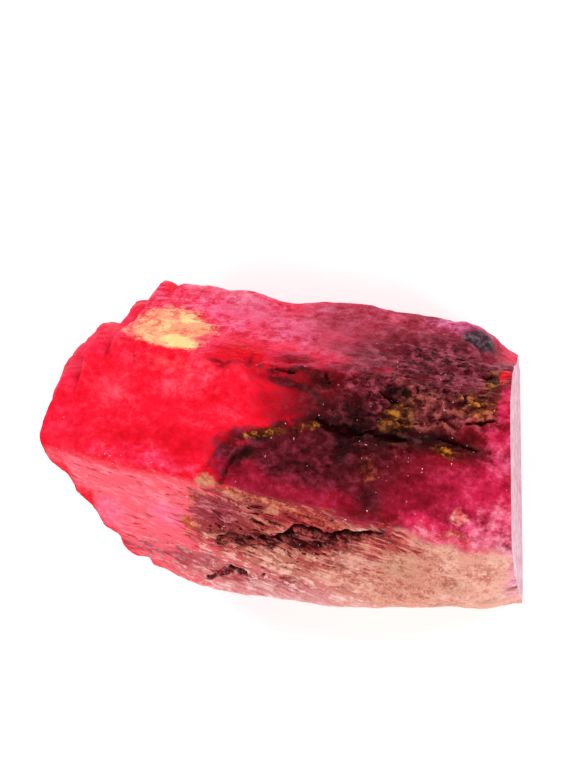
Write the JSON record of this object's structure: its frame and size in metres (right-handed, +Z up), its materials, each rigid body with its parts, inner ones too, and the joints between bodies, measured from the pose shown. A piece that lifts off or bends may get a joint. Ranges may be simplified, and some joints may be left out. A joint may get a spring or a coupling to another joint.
{
  "type": "raw ruby crystal",
  "caption": "Stubby raw ruby crystal lying on a flat base, one end sawn flat, the other broken to a blunt stepped tip, with a rough schist crust.",
  "frame": {"origin": "middle of the stone's box, on the flat base it rests on", "axes": "+X is the outward normal of the sawn end, +Z is up from the flat base, +Y completes the frame towards the striated back flank"},
  "size_m": [0.0464, 0.0342, 0.0247],
  "materials": {
    "ruby": "raw pinkish red stone, half glossy, with tan and dark crust"
  },
  "bodies": {
    "root": {"ruby_crystal": "ruby"}
  },
  "joints": []
}
